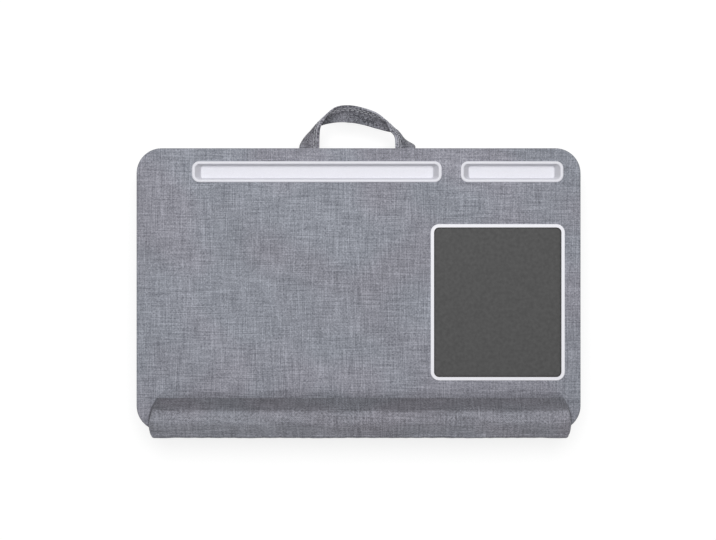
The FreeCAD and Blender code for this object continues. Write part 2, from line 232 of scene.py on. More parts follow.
def wrapUnfold(spot, normal):    # the board's cloth, laid flat from its top
    drop = boardTop - spot.z
    if abs(normal.z) > levelFace:
        return spot.x, spot.y
    if abs(normal.x) > abs(normal.y):
        return spot.x + math.copysign(drop, normal.x), spot.y
    return spot.x, spot.y + math.copysign(drop, normal.y)


def dress(piece, material):
    piece.data.materials.clear()
    piece.data.materials.append(material)


def smoothShade(piece, degrees):
    takeUp(piece)
    bpy.ops.object.shade_smooth_by_angle(angle=math.radians(degrees))


# materials

def newMaterial(name):
    material = bpy.data.materials.new(name)
    material.use_nodes = True
    tree = material.node_tree
    return material, tree, tree.nodes["Principled BSDF"]


def addNode(tree, kind, inputs=None, **settings):
    node = tree.nodes.new("ShaderNode" + kind)
    for key, value in settings.items():
        setattr(node, key, value)
    for key, value in (inputs or {}).items():
        if isinstance(value, bpy.types.NodeSocket):
            tree.links.new(value, node.inputs[key])
        else:
            node.inputs[key].default_value = value
    return node


def rgb(red, green, blue):       # a screen colour as linear light
    parts = []
    for part in (red, green, blue):
        share = part / 255
        parts.append(share / 12.92 if share <= 0.04045 else ((share + 0.055) / 1.055) ** 2.4)
    return (*parts, 1)


def addMath(tree, operation, first, second=0.0):
    return addNode(tree, "Math", {0: first, 1: second}, operation=operation).outputs[0]


def addNoise(tree, place, scale, detail, dimensions="3D"):     # along a line, over a cloth or through a body
    where = "W" if dimensions == "1D" else "Vector"
    return addNode(tree, "TexNoise", {where: place, "Scale": scale, "Detail": detail},
                   noise_dimensions=dimensions).outputs["Fac"]


def addCells(tree, place, scale, uneven):
    cells = addNode(tree, "TexVoronoi", {"Vector": place, "Scale": scale, "Randomness": uneven})
    return cells.outputs["Distance"]


def addRamp(tree, value, *stops):      # every stop is a place and a colour
    ramp = addNode(tree, "ValToRGB", {"Fac": value})
    elements = ramp.color_ramp.elements
    for element, (place, colour) in zip(list(elements), (stops[0], stops[-1])):
        element.position = place
        element.color = colour
    for place, colour in stops[1:-1]:
        elements.new(place).color = colour
    return ramp.outputs[0]


def toned(tree, colour, value, reach, tones):    # darker or lighter as a value goes through a range
    tone = addNode(tree, "MapRange", {"Value": value, "From Min": reach[0], "From Max": reach[1],
                                      "To Min": tones[0], "To Max": tones[1]},
                   interpolation_type="SMOOTHERSTEP")
    return addNode(tree, "Mix", {0: 1.0, 6: colour, 7: tone.outputs[0]}, data_type="RGBA",
                   blend_type="MULTIPLY").outputs[2]


def finishOff(tree, shader, colour, height, look):     # what every material of the tray ends with
    tree.links.new(colour, shader.inputs["Base Color"])
    raised = addNode(tree, "Bump", {"Height": height, "Strength": look["bump"], "Distance": look["depth"]})
    tree.links.new(raised.outputs[0], shader.inputs["Normal"])
    shader.inputs["Roughness"].default_value = look["rough"]
    shader.inputs["Specular IOR Level"].default_value = look["specular"]
    shader.inputs["Sheen Weight"].default_value = look.get("sheen", 0.0)
    shader.inputs["Metallic"].default_value = look.get("metallic", 0.0)


linenLook = {
    "dark": rgb(104, 106, 115), "middle": rgb(142, 144, 153), "light": rgb(178, 180, 190), "rampReach": 0.30,
    "yarns": 808.5, "slubs": 24.0,                 # per metre
    "slubDetail": 1.0, "fleckScale": 14.0, "fleckShare": 0.65,
    "yarnRun": 500.0, "warpSeed": 0.566, "weftSeed": 5000.03,
    "slubShare": 0.80, "warpShare": 0.5, "yarnTone": 0.10,
    "slowDetail": 1.0, "driftScale": 9.0, "driftShare": 0.25, "driftReach": (0.40, 0.60),
    "driftWarm": rgb(145, 140, 150), "driftCool": rgb(138, 145, 154),
    "toneScale": 7.0, "toneReach": (0.3, 0.7), "tones": (0.935, 1.065),
    "bump": 0.45, "depth": 0.35 * mm, "rough": 0.9, "specular": 0.2, "sheen": 0.12,
}
boardLinenLook = {               # painted shadow of the wrist rest: darker along its foot, and in a thin line at its ends
    "footRear": -0.1572, "footReach": 0.015, "footShadowTone": 0.77,
    "footMiddle": 0.0018, "footEnd": 0.2607, "footBow": 11.5, "footBowFrom": -0.1870,
    "footBeside": 7.5, "endReach": 0.0024, "endShadowTone": 0.62,
}
wristLinenLook = {               # painted shade: a little darker than the board's linen, and darker again on its rear face
    "dark": rgb(107, 107, 114), "middle": rgb(139, 139, 147), "light": rgb(168, 168, 177),
    "bandReach": (0.0012, 0.0100), "bandShadeTone": 0.60,
    "bandWander": 0.006, "wanderScale": 45.0, "wanderDetail": 2.0,
    "slubShare": 1.05, "fleckShare": 0.8,
}
strapLinenLook = {               # darker all over than the board's linen, as painted shade, and lighter along the hem
    "dark": rgb(74, 74, 81), "middle": rgb(120, 120, 127), "light": rgb(158, 158, 166),
    "hemReach": (0.0026, 0.0040), "hemTone": 1.35,
    "slubShare": 1.8, "warpShare": 0.3, "fleckShare": 0.5,
}


def streaks(tree, across, along, seed, share, look):     # each yarn has thick and thin stretches of its own
    yarn = addMath(tree, "ADD", addMath(tree, "MULTIPLY", across, look["yarns"]), seed)
    own = addNode(tree, "TexWhiteNoise", {"W": addMath(tree, "FLOOR", yarn)}, noise_dimensions="1D")
    start = addMath(tree, "MULTIPLY", own.outputs["Value"], look["yarnRun"])
    place = addMath(tree, "ADD", addMath(tree, "MULTIPLY", along, look["slubs"]), start)
    slubs = addMath(tree, "SUBTRACT", addNoise(tree, place, 1.0, look["slubDetail"], "1D"), 0.5)
    flecks = addMath(tree, "SUBTRACT", addNoise(tree, place, look["fleckScale"], 0.0, "1D"), 0.5)
    both = addMath(tree, "ADD", slubs, addMath(tree, "MULTIPLY", flecks, look["fleckShare"]))
    return addMath(tree, "MULTIPLY", both, share)


def weave(tree, across, along, look):  # 0.5 is the cloth's middle tone
    warpShare = look["slubShare"] * look["warpShare"]
    weftShare = look["slubShare"] - warpShare
    warp = streaks(tree, across, along, look["warpSeed"], warpShare, look)
    weft = streaks(tree, along, across, look["weftSeed"], weftShare, look)
    turns = math.pi * look["yarns"]
    warpYarn = addMath(tree, "SINE", addMath(tree, "MULTIPLY", across, turns))
    weftYarn = addMath(tree, "SINE", addMath(tree, "MULTIPLY", along, turns))
    yarn = addMath(tree, "MULTIPLY", addMath(tree, "MULTIPLY", warpYarn, weftYarn), look["yarnTone"])
    both = addMath(tree, "ADD", addMath(tree, "ADD", warp, weft), 0.5)
    return addMath(tree, "ADD", both, yarn)


def beyond(tree, value, limit):        # how far a value is past a limit
    return addMath(tree, "MAXIMUM", addMath(tree, "SUBTRACT", value, limit), 0.0)


# painted shadow that the wrist rest casts on the board's cloth, behind its foot and beside its ends
def paintFootShadow(tree, colour, x, y, look):
    bowed = beyond(tree, y, look["footBowFrom"])
    bowed = addMath(tree, "MULTIPLY", addMath(tree, "MULTIPLY", bowed, bowed), look["footBow"])
    fromMiddle = addMath(tree, "ABSOLUTE", addMath(tree, "SUBTRACT", x, look["footMiddle"]))
    beside = beyond(tree, addMath(tree, "ADD", fromMiddle, bowed), look["footEnd"])
    behind = beyond(tree, y, look["footRear"])
    away = addMath(tree, "ADD", addMath(tree, "MULTIPLY", beside, look["footBeside"]), behind)
    colour = toned(tree, colour, away, (0.0, look["footReach"]), (look["footShadowTone"], 1.0))
    atEnd = addMath(tree, "ADD", beside, addMath(tree, "MULTIPLY", behind, look["footBeside"]))
    return toned(tree, colour, atEnd, (0.0, look["endReach"]), (look["endShadowTone"], 1.0))


# painted shade on the wrist rest's rear face, its edge wandering a little
def paintBandShade(tree, colour, coords, fromCrest, look):
    wander = addNoise(tree, coords, look["wanderScale"], look["wanderDetail"], "2D")
    wander = addMath(tree, "MULTIPLY", addMath(tree, "SUBTRACT", wander, 0.5), look["bandWander"])
    place = addMath(tree, "ADD", fromCrest, wander)
    return toned(tree, colour, place, look["bandReach"], (1.0, look["bandShadeTone"]))


def linenMaterial(name, own):
    look = {**linenLook, **own}
    material, tree, shader = newMaterial(name)
    coords = addNode(tree, "UVMap", uv_map="weave").outputs["UV"]
    x, y, _ = addNode(tree, "SeparateXYZ", {0: coords}).outputs
    both = weave(tree, x, y, look)
    colour = addRamp(tree, both, (0.5 - look["rampReach"], look["dark"]), (0.5, look["middle"]),
                     (0.5 + look["rampReach"], look["light"]))
    drift = addNoise(tree, coords, look["driftScale"], look["slowDetail"], "2D")
    warm, cool = look["driftReach"]
    tint = addRamp(tree, drift, (warm, look["driftWarm"]), (cool, look["driftCool"]))
    colour = addNode(tree, "Mix", {0: look["driftShare"], 6: colour, 7: tint}, data_type="RGBA",
                     blend_type="COLOR").outputs[2]
    slow = addNoise(tree, coords, look["toneScale"], look["slowDetail"], "2D")
    colour = toned(tree, colour, slow, look["toneReach"], look["tones"])
    if "footShadowTone" in look:
        colour = paintFootShadow(tree, colour, x, y, look)
    if "bandShadeTone" in look:
        colour = paintBandShade(tree, colour, coords, y, look)
    if "hemTone" in look:
        fromHem = addMath(tree, "ABSOLUTE", y)
        colour = toned(tree, colour, fromHem, look["hemReach"], (look["hemTone"], 1.0))
    finishOff(tree, shader, colour, both, look)
    return material


# plain stuff with a fine grain
grainLook = {"reach": (0.35, 0.65), "specular": 0.4, "detail": 4.0}
whiteLook = {"one": rgb(222, 222, 229), "other": rgb(227, 227, 234), "scale": 900.0,
             "bump": 0.06, "depth": 0.05 * mm, "rough": 0.42}
frameLook = {"one": rgb(236, 236, 242), "other": rgb(240, 240, 246), "scale": 900.0,
             "bump": 0.06, "depth": 0.05 * mm, "rough": 0.38}
coreLook = {"one": rgb(150, 118, 84), "other": rgb(176, 143, 106), "scale": 420.0,
            "bump": 0.2, "depth": 0.2 * mm, "rough": 0.85, "specular": 0.2}
linerLook = {"one": rgb(44, 45, 48), "other": rgb(66, 67, 71), "scale": 700.0,
             "bump": 0.4, "depth": 0.2 * mm, "rough": 0.95, "specular": 0.1, "detail": 6.0}
backingLook = {"one": rgb(60, 60, 62), "other": rgb(66, 66, 68), "scale": 800.0,
               "bump": 0.1, "depth": 0.1 * mm, "rough": 0.5}
stapleLook = {"one": rgb(176, 178, 182), "other": rgb(200, 202, 206), "scale": 1500.0,
              "bump": 0.1, "depth": 0.03 * mm, "rough": 0.32, "specular": 0.5, "metallic": 1.0}
hookLook = {"one": rgb(30, 30, 32), "other": rgb(54, 54, 57), "scale": 1600.0,
            "bump": 0.6, "depth": 0.3 * mm, "rough": 0.95, "specular": 0.1, "detail": 3.0}
threadLook = {"one": rgb(188, 189, 195), "other": rgb(204, 205, 211), "scale": 2500.0,
              "bump": 0.2, "depth": 0.05 * mm, "rough": 0.7, "specular": 0.3}
leatherLook = {
    "one": rgb(65, 65, 65), "other": rgb(77, 77, 77), "reach": (0.3, 0.7),
    "pebbles": 720.0, "pebbleShare": 0.7, "uneven": 0.9, "creases": 240.0, "detail": 5.0,
    "bump": 0.35, "depth": 0.2 * mm, "rough": 0.62, "specular": 0.3,
}
knitLook = {
    "one": rgb(58, 59, 63), "other": rgb(98, 99, 104), "reach": (0.45, 1.0),
    "pitch": 1.1 * mm, "uneven": 0.35, "flecks": 260.0, "fleckShare": 0.8, "detail": 3.0,
    "bump": 0.3, "depth": 0.25 * mm, "rough": 0.92, "specular": 0.15, "sheen": 0.2,
}


def twoTone(tree, value, look):
    first, last = look["reach"]
    return addRamp(tree, value, (first, look["one"]), (last, look["other"]))


def grainMaterial(name, own):    # these three lie on Object coordinates and need no UV map
    look = {**grainLook, **own}
    material, tree, shader = newMaterial(name)
    coords = addNode(tree, "TexCoord").outputs["Object"]
    grain = addNoise(tree, coords, look["scale"], look["detail"])
    finishOff(tree, shader, twoTone(tree, grain, look), grain, look)
    return material


def leatherMaterial(name, look):
    material, tree, shader = newMaterial(name)
    coords = addNode(tree, "TexCoord").outputs["Object"]
    pebbles = addCells(tree, coords, look["pebbles"], look["uneven"])
    crease = addNoise(tree, coords, look["creases"], look["detail"])
    height = addMath(tree, "ADD", addMath(tree, "MULTIPLY", pebbles, look["pebbleShare"]), crease)
    finishOff(tree, shader, twoTone(tree, crease, look), height, look)
    return material


def knitMaterial(name, look):
    material, tree, shader = newMaterial(name)
    coords = addNode(tree, "TexCoord").outputs["Object"]
    loops = addCells(tree, coords, 1 / look["pitch"], look["uneven"])
    flecks = addNoise(tree, coords, look["flecks"], look["detail"])
    mixed = addMath(tree, "ADD", addMath(tree, "MULTIPLY", flecks, look["fleckShare"]), loops)
    finishOff(tree, shader, twoTone(tree, mixed, look), loops, look)
    return material


linen = linenMaterial("melangeLinen", boardLinenLook)
# the wrist rest's linen is the board's linen made darker: painted shade
wristLinen = linenMaterial("wristRestLinen", wristLinenLook)
# the strap's linen is the board's linen made darker: painted shade
strapLinen = linenMaterial("strapLinen", strapLinenLook)
whitePlastic = grainMaterial("satinWhitePlastic", whiteLook)
leather = leatherMaterial("mousePadLeather", leatherLook)
cushionKnit = knitMaterial("cushionKnit", knitLook)
coreBoard = grainMaterial("coreBoard", coreLook)
linerFelt = grainMaterial("linerFelt", linerLook)
backingPlastic = grainMaterial("backingPlastic", backingLook)
stapleSteel = grainMaterial("stapleSteel", stapleLook)
hookLoop = grainMaterial("hookAndLoop", hookLook)
seamThread = grainMaterial("seamThread", threadLook)
framePlastic = grainMaterial("frameWhitePlastic", frameLook)
print("materials made:", len(bpy.data.materials))


# board: linen wrapped round the core, with a hem and gathered corners below

coverLook = {
    "corner": 0.031, "cornerSteps": 14,
    "edge": 0.0031, "edgeSteps": 5, "level": 0.0001,
    "thick": 0.0008,
    "slotHide": 0.0022, "slotCorner": 0.0065,      # how far the openings stay under the rims
    "padHide": 0.0026, "padCorner": 0.008,
    "cutReach": 0.002, "cutSteps": 8, "cutSlack": 0.00005,
    "hem": 0.030,
    "pleats": 7, "pleatAngles": (8, 82), "pleatReach": 0.021, "pleatRise": 0.0007, "pleatWidth": 0.0036,
    "pleatVary": 0.18, "pleatBeat": 2.3, "pleatTip": 0.25, "pleatEnd": 1.6, "pleatGrid": (6, 4),
}


def openUp(cover, low, high, corner, look):    # cut through one skin and take away the walls that are left
    cutAway(cover, roundedBlock("opening", low, high, corner, look["cutSteps"]))
    slack = look["cutSlack"]

    def isWall(face):
        middle = face.calc_center_median()
        inside = low.x - slack < middle.x < high.x + slack and low.y - slack < middle.y < high.y + slack
        return inside and boardBottom + slack < middle.z < boardTop - slack

    takeUp(cover)
    editAll()
    pick(cover, "faces", isWall)
    bpy.ops.mesh.delete(type="FACE")
    editDone()


def makeCover(look):
    cover = roundedBlock("boardCover", boardLow, boardHigh, look["corner"], look["cornerSteps"])
    editAll()
    pick(cover, "edges", lambda edge: abs(edge.verts[0].co.z - edge.verts[1].co.z) < look["level"])
    bpy.ops.mesh.bevel(offset=look["edge"], segments=look["edgeSteps"], profile=0.5, affect="EDGES")
    editDone()
    for node, hide, corner in (
        ("tablet_tray", look["slotHide"], look["slotCorner"]),
        ("phone_tray", look["slotHide"], look["slotCorner"]),
        ("mouse_pad_frame", look["padHide"], look["padCorner"]),
    ):
        low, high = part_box(node)
        low = Vector((low.x + hide, low.y + hide, boardTop - look["cutReach"]))
        high = Vector((high.x - hide, high.y - hide, boardTop + look["cutReach"]))
        openUp(cover, low, high, corner, look)
    hem = Vector((look["hem"], look["hem"], 0))
    low = Vector((boardLow.x, boardLow.y, boardBottom - look["cutReach"])) + hem
    high = Vector((boardHigh.x, boardHigh.y, boardBottom + look["cutReach"])) - hem
    openUp(cover, low, high, look["corner"], look)
    wall = cover.modifiers.new("wall", "SOLIDIFY")
    wall.thickness = look["thick"]
    wall.offset = -1
    applyAll(cover)
    smoothShade(cover, degrees=40)
    flat = cover.modifiers.new("flat", "WEIGHTED_NORMAL")
    flat.keep_sharp = True
    applyAll(cover)
    layWeave(cover, wrapUnfold)
    dress(cover, linen)
    return cover


def pleatFolds(look):            # where each fold starts, its way out and to the side, and its two ends
    folds = []
    first, last = look["pleatAngles"]
    inner = (boardHigh - boardLow) / 2 - Vector((look["corner"], look["corner"], 0))
    for signX in (-1, 1):
        for signY in (-1, 1):
            corner = Vector((boardMid.x + signX * inner.x, boardMid.y + signY * inner.y, boardBottom))
            for index in range(look["pleats"]):
                angle = math.radians(first + (last - first) * index / (look["pleats"] - 1))
                out = Vector((signX * math.cos(angle), signY * math.sin(angle), 0))
                side = Vector((-out.y, out.x, 0))
                beat = math.sin(look["pleatBeat"] * index + signX + 2 * signY)
                far = look["corner"] - look["pleatEnd"] * look["edge"]
                near = far - look["pleatReach"] * (1 - look["pleatVary"] * (1 - beat))
                folds.append((corner, out, side, near, far))
    return folds


def makePleats(look):            # the corners' spare cloth, folded flat under the board
    tip = look["pleatTip"]

    def folded(spot, fold):
        corner, out, side, near, far = fold
        along = spot.x + 0.5                       # 0 at the inner end, 1 at the board's edge
        taper = math.sqrt(along)
        across = spot.y * look["pleatWidth"] * (tip + (1 - tip) * taper)
        rise = look["pleatRise"] * taper * math.sqrt(max(1 - (2 * spot.y) ** 2, 0))
        return corner + out * (near + (far - near) * along) + side * across - Vector((0, 0, rise))

    freshStart()
    columns, rows = look["pleatGrid"]
    bpy.ops.mesh.primitive_grid_add(x_subdivisions=columns, y_subdivisions=rows, size=1)
    pleats = named("hemPleats")
    joinCopies(pleats, pleatFolds(look), folded)
    layWeave(pleats, wrapUnfold)
    smoothShade(pleats, degrees=60)
    dress(pleats, linen)
    return pleats


cover = makeCover(coverLook)
pleats = makePleats(coverLook)
print("board cover:", len(cover.data.polygons), "faces, pleats:", len(pleats.data.polygons))


# underside liner and cushion top: two flat panels

panelLook = {"linerCorner": 0.0307, "topCorner": 0.034, "steps": 10, "softShare": 0.25, "softSteps": 2}


def makePanel(name, node, corner, look, material):
    low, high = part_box(node)
    panel = roundedBlock(name, low, high, corner, look["steps"])
    soft = panel.modifiers.new("soft", "BEVEL")
    soft.width = look["softShare"] * (high.z - low.z)
    soft.segments = look["softSteps"]
    soft.limit_method = "ANGLE"
    applyAll(panel)
    smoothShade(panel, degrees=40)
    dress(panel, material)
    return panel


liner = makePanel("undersideLiner", "underside_liner", panelLook["linerCorner"], panelLook, linerFelt)
cushionTop = makePanel("cushionTop", "cushion_top_panel", panelLook["topCorner"], panelLook, cushionKnit)
print("panels made")


# slot trays: a soft rim on the cloth and a well with sloped ends

trayLook = {
    "cornerSteps": 8,
    # inset at the ends, inset at the sides, corner and height, in mm: from the well's floor over the rim
    # to the underside
    "floorRings": (
        (12.4, 6.6, 2.4, 0.0), (11.0, 5.7, 3.0, 0.02), (10.3, 5.25, 3.4, 0.35), (9.9, 5.05, 3.6, 0.9),
    ),
    "rimRings": (
        (4.1, 3.75, 5.1, -0.9), (3.7, 3.5, 5.4, -0.45), (3.35, 3.25, 5.7, -0.15), (2.9, 2.85, 6.1, 0.0),
        (1.1, 1.1, 7.9, 0.0), (0.5, 0.5, 8.5, -0.12), (0.12, 0.12, 8.9, -0.45), (0.0, 0.0, 9.0, -0.85),
    ),
    "skirtRings": ((0.0, 0.0, 9.0, 0.0), (2.0, 2.0, 7.0, 0.0)),
    "underRing": (9.0, 4.0, 3.6),
    # after the floor's thickness: the painted shade on the well's end walls and rear wall
    "floorThick": 0.0014, "paintedShadeTone": 0.76, "shadeFrom": 1.6, "shadeRise": 2.0,
}


def trayRing(low, high, insetX, insetY, corner, z, steps):
    ring = []
    for turn, signX, signY in ((0, 1, 1), (90, -1, 1), (180, -1, -1), (270, 1, -1)):
        x = (low.x + high.x) / 2 + signX * ((high.x - low.x) / 2 - (insetX + corner) * mm)
        y = (low.y + high.y) / 2 + signY * ((high.y - low.y) / 2 - (insetY + corner) * mm)
        for step in range(steps + 1):
            angle = math.radians(turn + 90 * step / steps)
            ring.append(Vector((x + corner * mm * math.cos(angle), y + corner * mm * math.sin(angle), z)))
    return ring


def makeTray(name, node, look):
    low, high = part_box(node)
    wells = [(row, low.z + look["floorThick"]) for row in look["floorRings"]]
    rims = [(row, high.z) for row in look["rimRings"]]
    skirts = [(row, boardTop) for row in look["skirtRings"]]
    rows = wells + rims + skirts + [((*look["underRing"], 0.0), low.z)]
    tray = sweepRings(name, [trayRing(low, high, *row[:3], base + row[3] * mm, look["cornerSteps"])
                             for row, base in rows])
    smoothShade(tray, degrees=50)
    layPaintedShade(tray, low, high, look)
    dress(tray, whitePlastic)
    return tray


def layPaintedShade(tray, low, high, look):      # own UV map for the painted shade: 1 on the end walls and the rear wall, 0 elsewhere
    count = 4 * (look["cornerSteps"] + 1)
    wallRings = (len(look["floorRings"]) - 1, len(look["floorRings"]))
    layer = tray.data.uv_layers.new(name="wallShade")
    for loop in tray.data.loops:
        spot = tray.data.vertices[loop.vertex_index].co
        rearward = (2 * spot.y - low.y - high.y) / (high.y - low.y)
        share = min(max(look["shadeFrom"] + look["shadeRise"] * rearward, 0.0), 1.0)
        layer.data[loop.index].uv = (share if loop.vertex_index // count in wallRings else 0.0, 0.0)


def paintShadeOnWalls(look):             # painted shade: the white plastic is darker where the map says wall
    tree = whitePlastic.node_tree
    base = tree.nodes["Principled BSDF"].inputs["Base Color"]
    share = addNode(tree, "UVMap", uv_map="wallShade").outputs["UV"]
    share = addNode(tree, "SeparateXYZ", {0: share}).outputs[0]
    plain = base.links[0].from_socket
    tree.links.new(toned(tree, plain, share, (0.0, 1.0), (1.0, look["paintedShadeTone"])), base)


paintShadeOnWalls(trayLook)
tabletTray = makeTray("tabletSlotTray", "tablet_tray", trayLook)
phoneTray = makeTray("phoneSlotTray", "phone_tray", trayLook)
print("slot trays:", len(tabletTray.data.polygons), "faces each")


# mouse pad: leather turned down into its frame

padLook = {
    "corner": 0.0061, "cornerSteps": 8,
    "rings": ((0.0004, 0.0004), (0.0006, 0.0003), (0.0012, 0.0002), (0.0022, 0.0001)),  # inset and rise
    "sink": 0.0010, "facesUp": 0.9,
}


def makePad(look):
    low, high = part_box("mouse_pad_leather")
    low.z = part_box("mouse_pad_foam")[0].z
    high.z -= look["sink"]
    pad = roundedBlock("mousePadLeather", low, high, look["corner"], look["cornerSteps"])
    editAll()
    pick(pad, "faces", lambda face: face.normal.z > look["facesUp"])
    for inset, rise in look["rings"]:
        bpy.ops.mesh.inset(thickness=inset, depth=0)
        bpy.ops.transform.translate(value=(0, 0, rise))
    editDone()
    smoothShade(pad, degrees=50)
    dress(pad, leather)
    return pad


mousePad = makePad(padLook)
print("mouse pad:", len(mousePad.data.polygons), "faces")


# padded pieces: each swells as cloth and gets its fabric's thickness

gatherLook = {
    "waveScale": 24.0, "waveShift": 3.0, "levelScale": 30.0, "levelFrom": Vector((5, 1, 2)), "flatPower": 4,
}
cordLook = {"merge": 0.0008, "smooth": 0.5, "smoothTimes": 4, "resolution": 2}


def puff(piece, look, sewn):
    takeUp(piece)
    if "voxel" in look:
        piece.data.remesh_voxel_size = look["voxel"]
        bpy.ops.object.voxel_remesh()
    start = [vertex.co.copy() for vertex in piece.data.vertices]
    group = piece.vertex_groups.new(name="sewn")
    group.add([index for index, spot in enumerate(start) if sewn(spot)], 1.0, "REPLACE")
    swell = piece.modifiers.new("swell", "CLOTH")
    cloth = swell.settings
    cloth.quality = 6
    cloth.use_pressure = True
    cloth.uniform_pressure_force = look["pressure"]
    cloth.effector_weights.gravity = 0
    cloth.vertex_group_mass = "sewn"
    cloth.shrink_min = look["shrink"]
    swell.point_cache.frame_start = 1
    swell.point_cache.frame_end = look["frames"]
    for step in range(1, look["frames"] + 1):
        bpy.context.scene.frame_set(step)
    bpy.ops.object.modifier_apply(modifier="swell")
    bpy.context.scene.frame_set(1)
    piece.vertex_groups.clear()
    for vertex, before in zip(piece.data.vertices, start):
        way = vertex.co - before
        if way.length > look["cap"]:
            vertex.co = before + way.normalized() * look["cap"]
    finer = piece.modifiers.new("finer", "SUBSURF")
    finer.levels = 1
    finer.render_levels = 1
    applyAll(piece)
    normals = [vertex.normal.copy() for vertex in piece.data.vertices]
    for vertex, normal in zip(piece.data.vertices, normals):
        vertex.co += normal * look["fabric"]


def clampBox(piece, low, high):  # flat where it rests on something, and no larger than its CAD solid
    for vertex in piece.data.vertices:
        vertex.co = [min(max(value, least), most) for value, least, most in zip(vertex.co, low, high)]


def gather(piece, seamZ, look):  # small gathers that run out from a seam
    normals = [vertex.normal.copy() for vertex in piece.data.vertices]
    for vertex, normal in zip(piece.data.vertices, normals):
        depth = abs(seamZ - vertex.co.z)
        along = vertex.co.y if abs(normal.x) > abs(normal.y) else vertex.co.x
        wander = noise.noise(vertex.co * gatherLook["waveScale"])
        wave = math.sin(2 * math.pi * along / look["gathers"] + gatherLook["waveShift"] * wander)
        pull = look["pull"] * math.exp(-depth / look["fade"]) * (0.5 + 0.5 * wave)
        level = look["wander"] * noise.noise(vertex.co * gatherLook["levelScale"] + gatherLook["levelFrom"])
        free = min(1, abs(vertex.co.z - look["heldAt"]) / look["heldReach"])
        vertex.co += normal * (level * free - pull * (1 - abs(normal.z) ** gatherLook["flatPower"]))


def seamCord(name, source, spot, facing, radius, material):   # piping where a plane cuts a padded piece
    takeUp(copyPiece(source, name))
    editAll()
    bpy.ops.mesh.bisect(plane_co=spot, plane_no=facing, clear_inner=True, clear_outer=True)
    bpy.ops.mesh.select_all(action="SELECT")
    bpy.ops.mesh.remove_doubles(threshold=cordLook["merge"])
    bpy.ops.mesh.vertices_smooth(factor=cordLook["smooth"], repeat=cordLook["smoothTimes"])
    editDone()
    bpy.ops.object.convert(target="CURVE")
    line = bpy.context.object.data
    line.bevel_depth = radius
    line.bevel_resolution = cordLook["resolution"]
    bpy.ops.object.convert(target="MESH")
    cord = named(name)
    smoothShade(cord, degrees=180)
    dress(cord, material)
    return cord


# wrist rest: swept from its own section, then filled

wristLook = {
    # share of the depth from the rear foot, share of the height, how far the ends draw in there
    "section": (
        (0.005, 0.0, 0.0091), (0.01, 0.05, 0.0088), (0.04, 0.17, 0.0080), (0.09, 0.34, 0.0066),
        (0.15, 0.54, 0.0053), (0.21, 0.745, 0.0043), (0.255, 0.89, 0.0037), (0.285, 0.955, 0.0034),
        (0.33, 0.985, 0.0029), (0.43, 1.0, 0.0020), (0.52, 0.99, 0.0013), (0.57, 0.965, 0.0008),
        (0.61, 0.915, 0.0004), (0.66, 0.82, 0.0), (0.74, 0.65, 0.0007), (0.82, 0.48, 0.0013),
        (0.90, 0.31, 0.0018), (0.95, 0.205, 0.0023), (0.98, 0.12, 0.0036), (0.996, 0.05, 0.0062),
        (0.995, 0.0, 0.0076),
    ),
    # distance from the end, share of the height that is left there
    "drop": ((0.0, 0.12), (0.0002, 0.42), (0.0006, 0.70), (0.0013, 0.86), (0.0026, 0.95), (0.0050, 0.99),
             (0.0090, 1.0)),
    "belowShares": (0.75, 0.5, 0.25), "inset": 0.0005, "endSpare": 0.0008, "frontSpare": 0.0006,
    "leftDraw": 1.4, "leftIn": 0.0035, "rearHalf": 0.5,     # the left end draws in more than the right one
    "endPower": 40, "pitch": 0.004, "crest": 0.40, "unfold": 0.8, "sewnUpTo": 0.0005,
    "pressure": 2.0, "shrink": -0.008, "frames": 10, "cap": 0.0008, "fabric": 0.0003,
    "pull": 0.0007, "fade": 0.0022, "gathers": 0.021, "wander": 0.0007,
    "seamUp": 0.0058, "pipingRadius": 0.0009, "heldAt": boardTop, "heldReach": 0.008,
}
wristLow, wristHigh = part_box("wrist_rest_cover")
wristDepth = wristHigh.y - wristLow.y
wristCrest = wristHigh.y - wristLook["crest"] * wristDepth


def wristUnfold(spot, normal):   # down both faces from the crest
    drop = wristLook["unfold"] * (wristHigh.z - spot.z)
    return spot.x, spot.y - wristCrest + math.copysign(drop, spot.y - wristCrest)


def makeWristRest(look):
    low = wristLow + Vector((look["leftIn"] - look["endSpare"], -look["frontSpare"], 0))
    high = wristHigh - Vector((-look["endSpare"], look["inset"], look["inset"]))
    span = high.x - low.x
    near = [row[0] for row in look["drop"]]
    steps = round((span - 2 * near[-1]) / look["pitch"])
    places = near + [near[-1] + (span - 2 * near[-1]) * step / steps for step in range(1, steps)]
    places += [span - place for place in reversed(near)]
    section = list(look["section"])
    section += [(share, 0.0, between(look["section"], share)[1]) for share in look["belowShares"]]
    rings = []
    for place in places:
        left = between(look["drop"], min(place, span - place))[0]
        middle = place / span * 2 - 1              # -1 at the left end, 1 at the right end
        ring = []
        for back, up, drawn in section:
            drawn *= look["leftDraw"] if middle < 0 and back < look["rearHalf"] else 1
            fromEnd = min(place, span - place) + drawn * abs(middle) ** look["endPower"]
            x = low.x + fromEnd if place < span / 2 else high.x - fromEnd
            ring.append(Vector((x, high.y + (low.y - high.y) * back, low.z + (high.z - low.z) * left * up)))
        rings.append(ring)
    rest = sweepRings("wristRest", rings)
    puff(rest, look, lambda spot: spot.z < low.z + look["sewnUpTo"])
    gather(rest, boardTop + look["seamUp"], look)
    spareRoom = Vector((look["endSpare"], look["frontSpare"], 0))
    clampBox(rest, wristLow - spareRoom, wristHigh + spareRoom)
    smoothShade(rest, degrees=180)
    layWeave(rest, wristUnfold)
    dress(rest, wristLinen)
    return rest


wristRest = makeWristRest(wristLook)
wristSeam = Vector((0, wristLow.y, boardTop + wristLook["seamUp"]))
wristPiping = seamCord("wristPiping", wristRest, wristSeam, Vector((0, wristLook["seamUp"], wristDepth)),
                       wristLook["pipingRadius"], wristLinen)
layWeave(wristPiping, wristUnfold)
print("wrist rest:", len(wristRest.data.polygons), "faces")


# cushion: two bolsters alike and a thin middle

